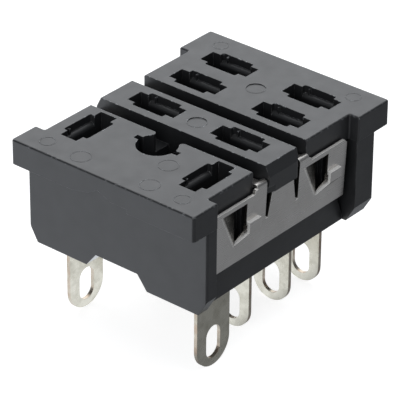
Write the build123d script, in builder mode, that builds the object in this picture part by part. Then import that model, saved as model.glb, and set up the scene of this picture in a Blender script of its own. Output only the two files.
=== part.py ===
from build123d import *
import os
from math import cos, hypot, radians, sin, tan

# Plug-in relay socket for a panel cut-out, with eight solder lugs, in millimetres
# X runs from the coil end to the contact end, Y across the socket and Z up
# The origin lies below the middle of the cover, on the plane of the lug tips

# Heights, from the lug tips up
lug_length = 8.5
body_height = 9.25
cover_thickness = 2.65

# Relay pin pattern, which everything else is laid out round
coil_row_to_contact_row = 7.45
first_contact_row_pitch = 6.2
second_contact_row_pitch = 4.8
contact_column_pitch = 10.3
coil_column_pitch = 14.6

# Cover outline, measured from the outermost rows and columns of the pin pattern
coil_end_margin = 6.6
contact_end_margin = 4.45
side_margin = 2.8
cover_side_recess = 1.15
cover_corner_radius = 0.3
cover_edge_radius = 0.2
recess_corner_radius = 0.15

# Body outline, shorter than the cover at both ends so that the cover is a flange
coil_end_overhang = 2.1
contact_end_overhang = 1.95
coil_end_wall = 1.35
contact_end_wall = 2.9
body_side_step = 0.12
core_side_gap = 0.5
body_corner_radius = 0.25
end_wall_chamfer_width = 1.05
end_wall_chamfer_height = 1.8
channel_width = 7.6
channel_height = 1.5
channel_slope = 1.2
relief_width = 1.0
relief_depth = 0.55
relief_slant = 2.4
relief_foot = 0.5
tooth_pocket_drop = 4.5

# Stepped slots in the cover and the rounded guides in them
slot_length = 5.8
slot_middle_length = 3.85
slot_middle_width = 3.0
slot_end_width = 2.0
slot_corner_radius = 0.2
guide_radius = 0.5
guide_depth = 0.8
rib_width = 0.18
rib_reach = 0.25
rib_from_corner = 0.65

# Cross grooves and the block between them
block_length = 4.62
block_offset = 0.14
groove_width = 1.7
groove_depth = 2.0
block_top_proud = 0.1
block_proud = 0.65
block_flare_height = 1.1
block_drop = 0.25
block_facet_length = 0.95
block_facet_inset = 0.35
block_facet_slope = 1.05
block_corner_radius = 0.6

# Key hole beside the first groove
key_radius = 2.06
key_to_groove = 1.85
key_notch_width = 0.65
key_notch_reach = 2.68
key_neck_width = 3.1
key_mouth_radius = 0.4

# Finger notch in the lower edge of the flange at the coil end
finger_notch_start = 3.7
finger_notch_end = 3.2
finger_notch_peak = 0.4
finger_notch_height = 1.15
finger_notch_step = 0.45
finger_notch_shoulder = 1.2

# Round marks of the mould's two large ejector pins
mark_radius = 1.0
mark_depth = 0.06
mark_to_contact_row = 2.2

# Stamped terminals and their springs
terminal_thickness = 0.4
contact_lug_width = 4.4
coil_lug_width = 4.8
lug_eye_width = 2.1
lug_eye_length = 3.6
lug_eye_margin = 0.8
lug_offset = 0.76
shoulder_width = 0.3
terminal_top_gap = 0.6
terminal_flare_height = 0.9
terminal_flare = 0.32
wing_length = 1.35
wing_bottom = 1.0
wing_height = 3.4
stake_width = 0.8
stake_height = 2.0
stake_clearance = 0.05
spring_thickness = 0.25
spring_side_clearance = 0.3
spring_bottom_gap = 0.15
spring_bend_radius = 0.5
spring_pinch_gap = 0.35
spring_pinch_drop = 2.3
spring_mouth = 0.85
spring_lean = 0.1
spring_corner_radius = 0.3

# Cavities and openings for the terminals in the body
body_floor = 2.0
cavity_width = 2.85
cavity_end_clearance = 0.45
lug_slot_clearance = 0.1

# Spring steel side clips, each one bent sheet
sheet = 0.3
plate_clearance = 0.2
plate_height = 6.37
plate_above_body = 0.55
plate_lean = 2.7
plate_coil_end_gap = 0.45
plate_contact_end_gap = 0.9
plate_corner_chamfer = 0.4
hook_width = 1.35
hook_rise = 0.95
hook_run_in = 0.9
hook_leg_inset = 1.5
hook_leg_drop = 1.2
hook_leg_clearance = 0.1
hook_bend_radius = 0.25
hook_root_radius = 0.45
hook_stub = 0.45
relief_slot_top_width = 0.88
relief_slot_bottom_width = 0.43
relief_slot_depth = 3.35
tongue_clearance = 0.12
window_from_coil_end = 2.95
window_from_contact_end = 4.6
window_strip = 0.45
window_height = 3.95
window_left_run = 1.9
window_right_run = 1.75
window_corner_height = 0.8
tooth_angle = 22.0
tooth_trim = 0.55
tooth_top_clearance = 0.2
tooth_side_clearance = 0.25
catch_length = 1.7
catch_height = 1.1
catch_reach = 0.4
catch_wall = 0.3
catch_opening = 0.1

# How near to a level or place an edge must lie to be picked by it
pick_tolerance = 0.01

# Levels and places worked out from the sizes above
body_bottom = lug_length
body_top = body_bottom + body_height
cover_top = body_top + cover_thickness
cavity_floor = body_bottom + body_floor
row_span = coil_row_to_contact_row + first_contact_row_pitch + second_contact_row_pitch
cover_length = coil_end_margin + row_span + contact_end_margin
body_start = -cover_length / 2 + coil_end_overhang
body_end = cover_length / 2 - contact_end_overhang
recess_start = body_start + coil_end_wall
recess_end = body_end - contact_end_wall
recess_length = recess_end - recess_start
recess_middle = (recess_start + recess_end) / 2
coil_y = coil_column_pitch / 2
contact_y = contact_column_pitch / 2
zone_half = coil_y + side_margin
cover_half = zone_half + cover_side_recess
cover_width = 2 * cover_half
body_half = cover_half - body_side_step
core_half = zone_half - core_side_gap

coil_row_x = -cover_length / 2 + coil_end_margin
first_row_x = coil_row_x + coil_row_to_contact_row
second_row_x = first_row_x + first_contact_row_pitch
third_row_x = second_row_x + second_contact_row_pitch
contact_places = [
    (third_row_x, contact_y),
    (third_row_x, -contact_y),
    (second_row_x, contact_y),
    (second_row_x, -contact_y),
    (first_row_x, contact_y),
    (first_row_x, -contact_y),
]
coil_places = [(coil_row_x, coil_y), (coil_row_x, -coil_y)]

block_x = first_row_x - block_offset
block_start = block_x - block_length / 2
block_end = block_x + block_length / 2
groove_floor = cover_top - groove_depth
groove_1_x = block_start - groove_width / 2
groove_2_x = block_end + groove_width / 2
block_bottom = body_top - block_drop
key_x = block_start - groove_width - key_to_groove

plate_top = body_top + plate_above_body
plate_reach = zone_half + plate_clearance + sheet
plate_start = recess_start + plate_coil_end_gap
plate_end = recess_end - plate_contact_end_gap
lean = radians(plate_lean)
window_tips = [plate_start + window_from_coil_end, plate_end - window_from_contact_end]
tip_level = -window_strip - window_height
corner_level = tip_level + window_corner_height
window_width = window_left_run + window_right_run
window_middle = (window_right_run - window_left_run) / 2
hook_places = [groove_1_x, groove_2_x]
hook_leg_y = zone_half - hook_leg_inset


def plate_face(depth=0.0):
    """The plane of the side clip's plate on the -Y side, at a depth below its outer face."""
    reach = plate_reach - depth
    return Plane(
        origin=(0, -reach, plate_top),
        x_dir=(1, 0, 0),
        z_dir=(0, -cos(lean), -sin(lean)),
    )


# The stepped opening for one relay blade, its long side along Y
with BuildSketch() as slot_opening:
    RectangleRounded(slot_middle_width, slot_middle_length, slot_corner_radius)
    Rectangle(slot_end_width, slot_length)

# The key hole, a round hole with two side notches and a neck to the middle block
with BuildSketch() as key_hole:
    with Locations((key_x, 0)):
        Circle(key_radius)
        Rectangle(key_notch_width, 2 * key_notch_reach)
    with Locations(((key_x + block_start) / 2, 0)):
        Rectangle(block_start - key_x, key_neck_width)

# Two rounded guides that narrow the middle of a slot towards the blade, with upright ribs
guide_foot = slot_middle_width / 2 - guide_radius
guide_root = slot_middle_width / 2 + slot_corner_radius
guide_length = slot_middle_length
rib_y = slot_middle_length / 2 - rib_from_corner
with BuildPart() as slot_guides:
    with BuildSketch(Plane.XZ.offset(-guide_length / 2)) as guide_profile:
        with BuildLine() as guide_outline:
            guide_top = cover_top - guide_depth
            guide_bend = guide_top - guide_radius
            shelf = Line((guide_root, guide_top), (guide_foot + guide_radius, guide_top))
            RadiusArc(shelf @ 1, (guide_foot, guide_bend), -guide_radius)
            Line((guide_foot, guide_bend), (guide_foot, body_top))
            Line((guide_foot, body_top), (guide_root, body_top))
            Line((guide_root, body_top), (guide_root, guide_top))
        make_face()
        mirror(about=Plane.YZ)
    extrude(amount=guide_length)
    with BuildSketch(Plane.XY.offset(body_top)) as ribs:
        rib_x = (slot_middle_width - rib_reach + slot_corner_radius) / 2
        with Locations((rib_x, rib_y), (-rib_x, -rib_y)):
            Rectangle(rib_reach + slot_corner_radius, rib_width)
    extrude(amount=cover_thickness - cover_edge_radius)

# Slits across the ends of both grooves, one for each hook's leg
with BuildSketch() as hook_slit_row:
    for hook_x in hook_places:
        with Locations((hook_x, hook_leg_y), (hook_x, -hook_leg_y)):
            Rectangle(hook_width + 2 * hook_leg_clearance, sheet + 2 * hook_leg_clearance)

# One flared side of the middle block, on the -Y side, with a facet at its lower corner
with BuildPart() as block_side:
    with BuildSketch(Plane.YZ.offset(block_start)) as block_profile:
        with BuildLine():
            Polyline(
                (-zone_half + block_proud, cover_top),
                (-zone_half - block_top_proud, cover_top),
                (-zone_half - block_proud, cover_top - block_flare_height),
                (-zone_half - block_proud, block_bottom),
                (-zone_half, block_bottom),
                (-zone_half, body_top),
                (-zone_half + block_proud, body_top),
                close=True,
            )
        make_face()
    extrude(amount=block_length)
    rear_corner = block_side.edges().group_by(Axis.X)[-1].group_by(Axis.Y)[0]
    fillet(rear_corner, block_corner_radius)
    flare_level = cover_top - block_flare_height
    facet_level = flare_level - block_facet_slope
    with BuildSketch(Plane.XY.offset(facet_level)) as facet:
        with BuildLine():
            Polyline(
                (block_start, -zone_half - block_proud + block_facet_inset),
                (block_start, -zone_half - block_proud),
                (block_start + block_facet_length, -zone_half - block_proud),
                close=True,
            )
        make_face()
    extrude(amount=block_bottom - facet_level, mode=Mode.SUBTRACT)
    facet_apex = Vertex(block_start, -zone_half - block_proud, flare_level)
    loft(sections=[facet.face(), facet_apex], mode=Mode.SUBTRACT)

# Cover: the top plate with its flange, slots, grooves, block and key hole
with BuildPart() as cover:
    with BuildSketch(Plane.XY.offset(body_top)) as cover_outline:
        Rectangle(cover_length, cover_width)
        fillet(cover_outline.vertices(), cover_corner_radius)
        with Locations((recess_middle, cover_half), (recess_middle, -cover_half)):
            Rectangle(recess_length, 2 * cover_side_recess, mode=Mode.SUBTRACT)
        recess_corners = cover_outline.vertices().filter_by(
            lambda v: recess_start - pick_tolerance < v.X < recess_end + pick_tolerance
        )
        fillet(recess_corners, recess_corner_radius)
    extrude(amount=cover_thickness)
    fillet(cover.faces().sort_by(Axis.Z)[-1].edges(), cover_edge_radius)
    add(block_side.part)
    add(mirror(block_side.part, about=Plane.XZ, mode=Mode.PRIVATE))

    with BuildSketch(Plane.XY.offset(groove_floor)) as grooves:
        with Locations((groove_1_x, 0), (groove_2_x, 0)):
            Rectangle(groove_width, cover_width)
    extrude(amount=groove_depth, mode=Mode.SUBTRACT)

    with BuildSketch(Plane.XY.offset(body_top)) as openings:
        with Locations(*contact_places):
            add(slot_opening.sketch)
        with Locations(*coil_places):
            add(slot_opening.sketch, rotation=90)
    extrude(amount=cover_thickness, mode=Mode.SUBTRACT)
    with Locations(*contact_places):
        add(slot_guides.part)
    with Locations(*[Location((x, y, 0), (0, 0, 90)) for x, y in coil_places]):
        add(slot_guides.part)

    with BuildSketch(Plane.XY.offset(body_top)) as key_opening:
        add(key_hole.sketch)
    extrude(amount=cover_thickness, mode=Mode.SUBTRACT)
    mouth_edges = (
        cover.edges()
        .filter_by(Axis.Z)
        .filter_by(lambda e: abs(e.center().X - key_x - key_to_groove) < pick_tolerance)
        .filter_by(lambda e: abs(abs(e.center().Y) - key_neck_width / 2) < pick_tolerance)
        .filter_by(lambda e: e.center().Z > groove_floor)
    )
    fillet(mouth_edges, key_mouth_radius)

    # Slits in the groove floors for the hooks of the side clips
    with BuildSketch(Plane.XY.offset(body_top)) as hook_slits:
        add(hook_slit_row.sketch)
    extrude(amount=groove_floor - body_top, mode=Mode.SUBTRACT)

    # Notches in the lower edge, under which the clips' teeth hook
    with BuildSketch(Plane.XY.offset(body_top)) as tooth_notches:
        for tip in window_tips:
            with Locations(*[(tip + window_middle, side * zone_half) for side in (1, -1)]):
                Rectangle(
                    window_width + 2 * tooth_side_clearance,
                    2 * (zone_half - core_half + relief_depth),
                )
    extrude(amount=plate_above_body - window_strip + tooth_top_clearance, mode=Mode.SUBTRACT)

    with BuildSketch(Plane.YZ.offset(-cover_length / 2)) as finger_notch:
        with BuildLine():
            Polyline(
                (finger_notch_start, body_top),
                (finger_notch_shoulder + finger_notch_peak, body_top + finger_notch_step),
                (finger_notch_peak, body_top + finger_notch_height),
                (-finger_notch_shoulder, body_top + finger_notch_step),
                (-finger_notch_end, body_top + finger_notch_step),
                (-finger_notch_end, body_top),
                close=True,
            )
        make_face()
    extrude(amount=coil_end_overhang, mode=Mode.SUBTRACT)

    with BuildSketch(Plane.XY.offset(cover_top)) as ejector_marks:
        with Locations((block_x, 0), (third_row_x - mark_to_contact_row, 0)):
            Circle(mark_radius)
    extrude(amount=-mark_depth, mode=Mode.SUBTRACT)
cover.part.label = "cover"

# Body: end walls, a narrower core between them and a cavity for each terminal
with BuildPart() as body:
    with BuildSketch(Plane.YZ.offset(body_start)) as end_profile:
        with BuildLine():
            half_profile = Polyline(
                (0, body_top),
                (body_half, body_top),
                (body_half, body_bottom + end_wall_chamfer_height),
                (body_half - end_wall_chamfer_width, body_bottom),
                (channel_width / 2, body_bottom),
                (channel_width / 2 - channel_slope, body_bottom + channel_height),
                (0, body_bottom + channel_height),
            )
            mirror(half_profile, about=Plane.YZ)
        make_face()
    extrude(amount=body_end - body_start)
    outer_corners = (
        body.edges()
        .filter_by(Axis.Z)
        .filter_by(lambda e: abs(abs(e.center().Y) - body_half) < pick_tolerance)
    )
    fillet(outer_corners, body_corner_radius)

    with BuildSketch(Plane.XY.offset(body_bottom)) as side_recesses:
        side_cut = body_half - core_half
        with Locations((recess_middle, body_half), (recess_middle, -body_half)):
            Rectangle(recess_length, 2 * side_cut)
    extrude(amount=body_height, mode=Mode.SUBTRACT)

    # Slanted reliefs where the core meets the end wall at the contact end
    with BuildSketch(Plane.XZ) as reliefs:
        with BuildLine():
            Polyline(
                (recess_end, body_top),
                (recess_end - relief_width, body_top),
                (recess_end - relief_width, body_bottom + relief_foot + relief_slant),
                (recess_end, body_bottom + relief_foot),
                close=True,
            )
        make_face()
    relief_cut = extrude(amount=core_half, both=True, mode=Mode.PRIVATE)
    with BuildSketch(Plane.XZ) as relief_core:
        with Locations((recess_end, (body_bottom + body_top) / 2)):
            Rectangle(2 * relief_width + 2 * relief_depth, body_height + 2 * relief_depth)
    kept_core = extrude(amount=core_half - relief_depth, both=True, mode=Mode.PRIVATE)
    add(relief_cut - kept_core, mode=Mode.SUBTRACT)

    # Pockets into which the clips' teeth bend, and slits for the legs of their hooks
    with BuildSketch(Plane.XY.offset(body_top)) as tooth_pockets:
        for tip in window_tips:
            with Locations(*[(tip + window_middle, side * core_half) for side in (1, -1)]):
                Rectangle(window_width + 2 * tooth_side_clearance, 2 * relief_depth)
    extrude(amount=-tooth_pocket_drop, mode=Mode.SUBTRACT)
    with BuildSketch(Plane.XY.offset(body_top)) as leg_slits:
        add(hook_slit_row.sketch)
    extrude(amount=-(hook_leg_drop + hook_leg_clearance), mode=Mode.SUBTRACT)

    with BuildSketch(Plane.XY.offset(cavity_floor)) as cavities:
        with Locations(*contact_places):
            Rectangle(cavity_width, contact_lug_width + 2 * (shoulder_width + cavity_end_clearance))
        with Locations(*coil_places):
            Rectangle(coil_lug_width + 2 * (shoulder_width + cavity_end_clearance), cavity_width)
        add(key_hole.sketch)
    extrude(amount=body_top - cavity_floor, mode=Mode.SUBTRACT)

    with BuildSketch(Plane.XY.offset(body_bottom)) as lug_slots:
        slot_thickness = terminal_thickness + 2 * lug_slot_clearance
        for x, y in contact_places:
            with Locations((x - lug_offset, y)):
                Rectangle(slot_thickness, contact_lug_width + 2 * lug_slot_clearance)
        for x, y in coil_places:
            outward = 1 if y > 0 else -1
            with Locations((x, y + outward * lug_offset)):
                Rectangle(coil_lug_width + 2 * lug_slot_clearance, slot_thickness)
    extrude(amount=body_floor, mode=Mode.SUBTRACT)
body.part.label = "body"


def make_terminal(lug_width):
    """A stamped terminal for a slot at the origin, with its lug on the -X side."""
    plate_width = lug_width + 2 * shoulder_width
    flat_top = body_top - terminal_top_gap - terminal_flare_height
    inner_face = -lug_offset + terminal_thickness / 2
    with BuildPart() as terminal:
        with BuildSketch(Plane.YZ.offset(-lug_offset - terminal_thickness / 2)) as blank:
            with Locations((0, lug_width / 2)):
                Circle(lug_width / 2)
            with Locations((0, (lug_width / 2 + cavity_floor) / 2)):
                Rectangle(lug_width, cavity_floor - lug_width / 2)
            with Locations((0, (cavity_floor + flat_top) / 2)):
                Rectangle(plate_width, flat_top - cavity_floor)
            with Locations((0, lug_eye_margin + lug_eye_length / 2)):
                SlotOverall(lug_eye_length, lug_eye_width, rotation=90, mode=Mode.SUBTRACT)
        extrude(amount=terminal_thickness)

        # Lead-in, bent outward at the top
        with BuildSketch(Plane.XZ.offset(-lug_width / 2)) as lead_in:
            with BuildLine():
                outer_face = -lug_offset - terminal_thickness / 2
                Polyline(
                    (inner_face, flat_top),
                    (inner_face - terminal_flare, flat_top + terminal_flare_height),
                    (outer_face - terminal_flare, flat_top + terminal_flare_height),
                    (outer_face, flat_top),
                    close=True,
                )
            make_face()
        extrude(amount=lug_width)

        # Wings folded forward at both sides of the spring
        with BuildSketch(Plane.XY.offset(cavity_floor + wing_bottom)) as wings:
            wing_x = inner_face + wing_length / 2
            wing_y = (plate_width - terminal_thickness) / 2
            with Locations((wing_x, wing_y), (wing_x, -wing_y)):
                Rectangle(wing_length, terminal_thickness)
        extrude(amount=wing_height)

        # Square stake that holds the spring
        with BuildSketch(Plane.YZ.offset(inner_face)) as stake:
            with Locations((0, cavity_floor + stake_height)):
                Rectangle(stake_width, stake_width)
        extrude(amount=spring_thickness)
    return terminal.part


def make_spring(lug_width):
    """The bent spring of one terminal, for a slot at the origin."""
    plate_width = lug_width + 2 * shoulder_width
    spring_width = plate_width - 2 * terminal_thickness - 2 * spring_side_clearance
    back_x = -lug_offset + terminal_thickness / 2 + spring_thickness / 2
    flat_top = body_top - terminal_top_gap - terminal_flare_height
    foot = cavity_floor + spring_bottom_gap + spring_thickness / 2
    pinch_x = back_x + spring_thickness + spring_pinch_gap
    mouth_top = body_top - terminal_top_gap
    with BuildPart() as spring:
        with BuildSketch(Plane.XZ.offset(-spring_width / 2)) as bent_strip:
            with BuildLine() as path:
                FilletPolyline(
                    (back_x, flat_top),
                    (back_x, foot),
                    (pinch_x + spring_mouth, foot),
                    (pinch_x + spring_mouth - spring_lean, foot + 2 * spring_bend_radius),
                    (pinch_x, mouth_top - spring_pinch_drop),
                    (pinch_x + spring_mouth, mouth_top),
                    radius=[
                        spring_bend_radius,
                        spring_bend_radius,
                        spring_corner_radius,
                        spring_bend_radius,
                    ],
                )
            trace(line_width=spring_thickness)
        extrude(amount=spring_width)
        with BuildSketch(Plane.YZ.offset(back_x - spring_thickness)) as stake_hole:
            with Locations((0, cavity_floor + stake_height)):
                Rectangle(stake_width + 2 * stake_clearance, stake_width + 2 * stake_clearance)
        extrude(amount=2 * spring_thickness, mode=Mode.SUBTRACT)
    return spring.part


# Terminals 1 to 6 switch the contacts, 7 and 8 feed the coil
contact_terminal_shape = make_terminal(contact_lug_width)
contact_spring_shape = make_spring(contact_lug_width)
coil_terminal_shape = make_terminal(coil_lug_width)
coil_spring_shape = make_spring(coil_lug_width)
terminals = []
springs = []
for number, (x, y) in enumerate(contact_places + coil_places, start=1):
    is_coil = number > len(contact_places)
    turn = 0 if not is_coil else (-90 if y > 0 else 90)
    with BuildPart() as terminal:
        with Locations(Location((x, y, 0), (0, 0, turn))):
            add(coil_terminal_shape if is_coil else contact_terminal_shape)
    terminal.part.label = ("coil" if is_coil else "contact") + f"_terminal_{number}"
    terminals.append(terminal.part)
    with BuildPart() as spring:
        with Locations(Location((x, y, 0), (0, 0, turn))):
            add(coil_spring_shape if is_coil else contact_spring_shape)
    spring.part.label = f"contact_spring_{number}"
    springs.append(spring.part)


def catch_form(tip, depth=0.0, wall=0.0, opening=0.0):
    """The pressed shape of a catch and the ramp from it to a window's tip."""
    left = tip + window_right_run - opening
    right = tip + window_right_run + catch_length - wall
    high = corner_level + catch_height - wall
    with BuildPart() as form:
        with BuildSketch(plate_face(depth)) as pad_outline:
            with Locations(((left + right) / 2, (corner_level + high) / 2)):
                Rectangle(right - left, high - corner_level)
        pad = extrude(amount=catch_reach)
        ramp_tip = plate_face(depth).from_local_coords(Vector(tip, tip_level, 0))
        loft(sections=[pad.faces().sort_by(Axis.Z)[0], Vertex(*ramp_tip)])
    return form.part


# The clip on the -Y side: a flat plate with two hooks, a tongue, two teeth and two catches
tongue_top = (block_bottom - tongue_clearance - plate_top) / cos(lean)
tongue_start = groove_1_x + hook_width / 2
tongue_end = groove_2_x - hook_width / 2
with BuildPart() as side_clip:
    with BuildSketch(plate_face()) as plate_outline:
        with BuildLine():
            Polyline(
                (plate_start, -plate_height),
                (plate_end, -plate_height),
                (plate_end, -plate_corner_chamfer),
                (plate_end - plate_corner_chamfer, 0),
                (plate_start, 0),
                close=True,
            )
        make_face()
        # Stubs that carry on into the hooks, with a rounded root on the outer side
        for hook_x, outward in zip(hook_places, (-1, 1)):
            outer_x = hook_x + outward * hook_width / 2
            inner_x = hook_x - outward * hook_width / 2
            root_x = outer_x + outward * hook_root_radius
            with BuildLine():
                Line((inner_x, 0), (inner_x, hook_stub))
                Line((inner_x, hook_stub), (outer_x, hook_stub))
                RadiusArc((outer_x, hook_stub), (root_x, 0), outward * hook_root_radius)
                Line((root_x, 0), (inner_x, 0))
            make_face()
        # The tongue between the hooks ends below the middle block
        with BuildLine():
            Polyline(
                (tongue_start, tongue_top),
                (tongue_end, tongue_top),
                (tongue_end, hook_stub),
                (tongue_start, hook_stub),
                close=True,
            )
        make_face(mode=Mode.SUBTRACT)
        # Tapered slots that set the tongue free on both sides
        for edge_x, inward in ((tongue_start, 1), (tongue_end, -1)):
            round_x = edge_x + inward * relief_slot_bottom_width / 2
            with BuildLine():
                Polyline(
                    (edge_x, hook_stub),
                    (edge_x + inward * relief_slot_top_width, hook_stub),
                    (edge_x + inward * relief_slot_top_width, tongue_top),
                    (edge_x + inward * relief_slot_bottom_width, -relief_slot_depth),
                    (edge_x, -relief_slot_depth),
                    close=True,
                )
            make_face(mode=Mode.SUBTRACT)
            with Locations((round_x, -relief_slot_depth)):
                Circle(relief_slot_bottom_width / 2, mode=Mode.SUBTRACT)
        # Windows, out of which the teeth are bent
        for tip in window_tips:
            with BuildLine():
                Polyline(
                    (tip, tip_level),
                    (tip - window_left_run, -window_strip),
                    (tip + window_right_run, -window_strip),
                    (tip + window_right_run, corner_level),
                    close=True,
                )
            make_face(mode=Mode.SUBTRACT)
    extrude(amount=-sheet)

    # Catches, pressed outward beside the windows and hollow behind
    for tip in window_tips:
        add(catch_form(tip))
        add(catch_form(tip, sheet, catch_wall, catch_opening), mode=Mode.SUBTRACT)

    # Teeth, bent inward about the slanted left edge of each window
    fold_run = hypot(window_left_run, window_height)
    tooth_width = window_width - tooth_trim
    corner_along = fold_run - tooth_width * window_left_run / fold_run
    corner_out = -tooth_width * window_height / fold_run
    for tip in window_tips:
        flat = plate_face()
        fold_start = flat.from_local_coords(Vector(tip, tip_level, 0))
        fold_end = flat.from_local_coords(Vector(tip - window_left_run, -window_strip, 0))
        fold_dir = (fold_end - fold_start).normalized()
        tooth_normal = flat.z_dir.rotate(Axis((0, 0, 0), fold_dir), tooth_angle)
        with BuildSketch(Plane(origin=fold_start, x_dir=fold_dir, z_dir=tooth_normal)) as tooth:
            with BuildLine():
                Polyline(
                    (0, sheet / 2),
                    (fold_run, sheet / 2),
                    (fold_run, 0),
                    (corner_along, corner_out),
                    (0, 0),
                    close=True,
                )
            make_face()
        extrude(amount=-sheet)

    # Hooks, bent over the edge of the cover and down through the slits in the grooves
    hook_level = groove_floor + sheet / 2
    crest_level = hook_level + hook_rise - sheet
    crest_y = plate_reach - sheet / 2 + (crest_level - plate_top) * tan(lean)
    base_level = plate_top - window_strip
    base_y = plate_reach - sheet / 2 - window_strip * tan(lean)
    for hook_x in hook_places:
        with BuildSketch(Plane.YZ.offset(hook_x - hook_width / 2)) as hook:
            with BuildLine():
                FilletPolyline(
                    (-base_y, base_level),
                    (-crest_y, crest_level),
                    (-crest_y + hook_run_in, hook_level),
                    (-hook_leg_y, hook_level),
                    (-hook_leg_y, body_top - hook_leg_drop),
                    radius=hook_bend_radius,
                )
            trace(line_width=sheet)
        extrude(amount=hook_width)

# The second clip is the first one's mirror image
side_clip_1 = side_clip.part
side_clip_1.label = "side_clip_1"
side_clip_2 = mirror(side_clip.part, about=Plane.XZ)
side_clip_2.label = "side_clip_2"

os.makedirs("parts", exist_ok=True)
export_step(cover.part, "parts/cover.step")
export_step(body.part, "parts/body.step")
for piece in [side_clip_1, side_clip_2] + terminals + springs:
    export_step(piece, f"parts/{piece.label}.step")
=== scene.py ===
"""Looks of a panel-mounting relay socket with solder lugs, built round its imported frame.

The frame holds every solid of the socket. This script gives each of them its finish, adds the
fine witness rings that the mould's ejector pins leave on the cover, and sets up the studio.

Some of the nodes' inputs go by number. In a Map Range 1 to 4 are the ends of the range and of the
result. In a Mix 0 is the factor, 2 and 3 are the two numbers, and 6 and 7 the two colours.
"""

import logging
import math
from dataclasses import dataclass
from enum import Enum
from typing import Any

import bpy
from mathutils import Matrix, Vector

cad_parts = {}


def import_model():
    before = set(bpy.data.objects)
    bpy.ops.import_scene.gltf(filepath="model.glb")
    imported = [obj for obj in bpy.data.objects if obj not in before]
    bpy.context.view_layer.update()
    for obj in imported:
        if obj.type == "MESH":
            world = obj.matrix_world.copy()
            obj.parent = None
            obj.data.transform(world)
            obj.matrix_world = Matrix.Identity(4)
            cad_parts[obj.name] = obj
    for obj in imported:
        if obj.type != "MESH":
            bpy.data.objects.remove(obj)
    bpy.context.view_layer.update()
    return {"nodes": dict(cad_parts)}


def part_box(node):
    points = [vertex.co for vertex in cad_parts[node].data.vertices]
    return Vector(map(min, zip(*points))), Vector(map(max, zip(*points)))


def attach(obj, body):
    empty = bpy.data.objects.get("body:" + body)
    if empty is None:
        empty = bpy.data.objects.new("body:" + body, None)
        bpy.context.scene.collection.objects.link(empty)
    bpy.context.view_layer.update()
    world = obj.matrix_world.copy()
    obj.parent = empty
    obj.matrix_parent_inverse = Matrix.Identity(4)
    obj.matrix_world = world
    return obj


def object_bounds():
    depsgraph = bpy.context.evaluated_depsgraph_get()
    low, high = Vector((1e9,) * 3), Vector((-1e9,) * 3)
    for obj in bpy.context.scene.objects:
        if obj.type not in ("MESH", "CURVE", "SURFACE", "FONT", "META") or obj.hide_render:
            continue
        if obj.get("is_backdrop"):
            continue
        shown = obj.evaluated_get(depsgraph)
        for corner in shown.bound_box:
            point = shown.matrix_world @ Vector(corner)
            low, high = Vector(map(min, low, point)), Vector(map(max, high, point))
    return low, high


LOG = logging.getLogger("relay_socket")
MM = 0.001
BODY = "root"

Source = bpy.types.Node | bpy.types.NodeSocket
Point = tuple[float, float, float]
Span = tuple[float, float]


class SheetNormal(Enum):
    """The axis that a flat lug's broad faces look along."""

    ALONG_X = "X"
    ALONG_Y = "Y"


class Mark(Enum):
    """The two sizes of ejector pin, as the radius of their witness ring in millimetres."""

    SMALL = 0.78
    LARGE = 1.0


def linear(hex_colour: str) -> tuple[float, float, float, float]:
    """Turns an sRGB hex colour into the linear values that the shaders take.

    Args:
        hex_colour: The colour, written as "#rrggbb".

    Returns:
        Red, green, blue and an alpha of 1.
    """
    parts = [int(hex_colour[i : i + 2], 16) / 255 for i in (1, 3, 5)]
    red, green, blue = (
        part / 12.92 if part <= 0.04045 else ((part + 0.055) / 1.055) ** 2.4 for part in parts
    )
    return red, green, blue, 1.0


def add_node(
    tree: bpy.types.NodeTree,
    kind: str,
    settings: dict[str | int, Any] | None = None,
    links: dict[str | int, Source] | None = None,
) -> bpy.types.Node:
    """Adds one node with its settings and links.

    Args:
        tree: The tree that gets the node.
        kind: The node's type name.
        settings: Values by name. A name of the node's own is set on it, any other on its socket.
        links: What feeds the node's inputs, by input name or number. A node stands for the first
            of its outputs that is in use.

    Returns:
        The new node.
    """
    node = tree.nodes.new(kind)
    for name, value in (settings or {}).items():
        if isinstance(name, str) and hasattr(node, name):
            setattr(node, name, value)
        else:
            node.inputs[name].default_value = value
    for name, source in (links or {}).items():
        if isinstance(source, bpy.types.Node):
            source = next(output for output in source.outputs if output.enabled)
        tree.links.new(source, node.inputs[name])
    return node


def new_material(name: str) -> tuple[bpy.types.Material, bpy.types.NodeTree]:
    """Makes an empty node material.

    Args:
        name: The material's name.

    Returns:
        The material and its cleared tree.
    """
    material = bpy.data.materials.new(name)
    material.use_nodes = True
    material.node_tree.nodes.clear()
    return material, material.node_tree


def per_mm(size_mm: float) -> float:
    """The texture scale at which one feature is size_mm across."""
    return 1.0 / (size_mm * MM)


@dataclass(frozen=True)
class Mottle:
    """An uneven pattern of soft patches, as wear, flow or dull clouds leave on a surface.

    Attributes:
        size_mm: The size of one patch.
        detail: How many finer layers lie on top.
        span: The part of the noise's range over which the result goes from 0 to 1.
    """

    size_mm: float
    detail: float
    span: Span

    def build(self, tree: bpy.types.NodeTree, where: Source, result: Span = (0.0, 1.0)) -> Source:
        """Adds the pattern.

        Args:
            tree: The material's tree.
            where: The coordinates.
            result: The values at the two ends of the span.

        Returns:
            The pattern's value.
        """
        settings = {"Scale": per_mm(self.size_mm), "Detail": self.detail}
        patches = add_node(tree, "ShaderNodeTexNoise", settings, {"Vector": where})
        limits = dict(enumerate((*self.span, *result), start=1))
        return add_node(tree, "ShaderNodeMapRange", limits, {0: patches})


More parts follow.
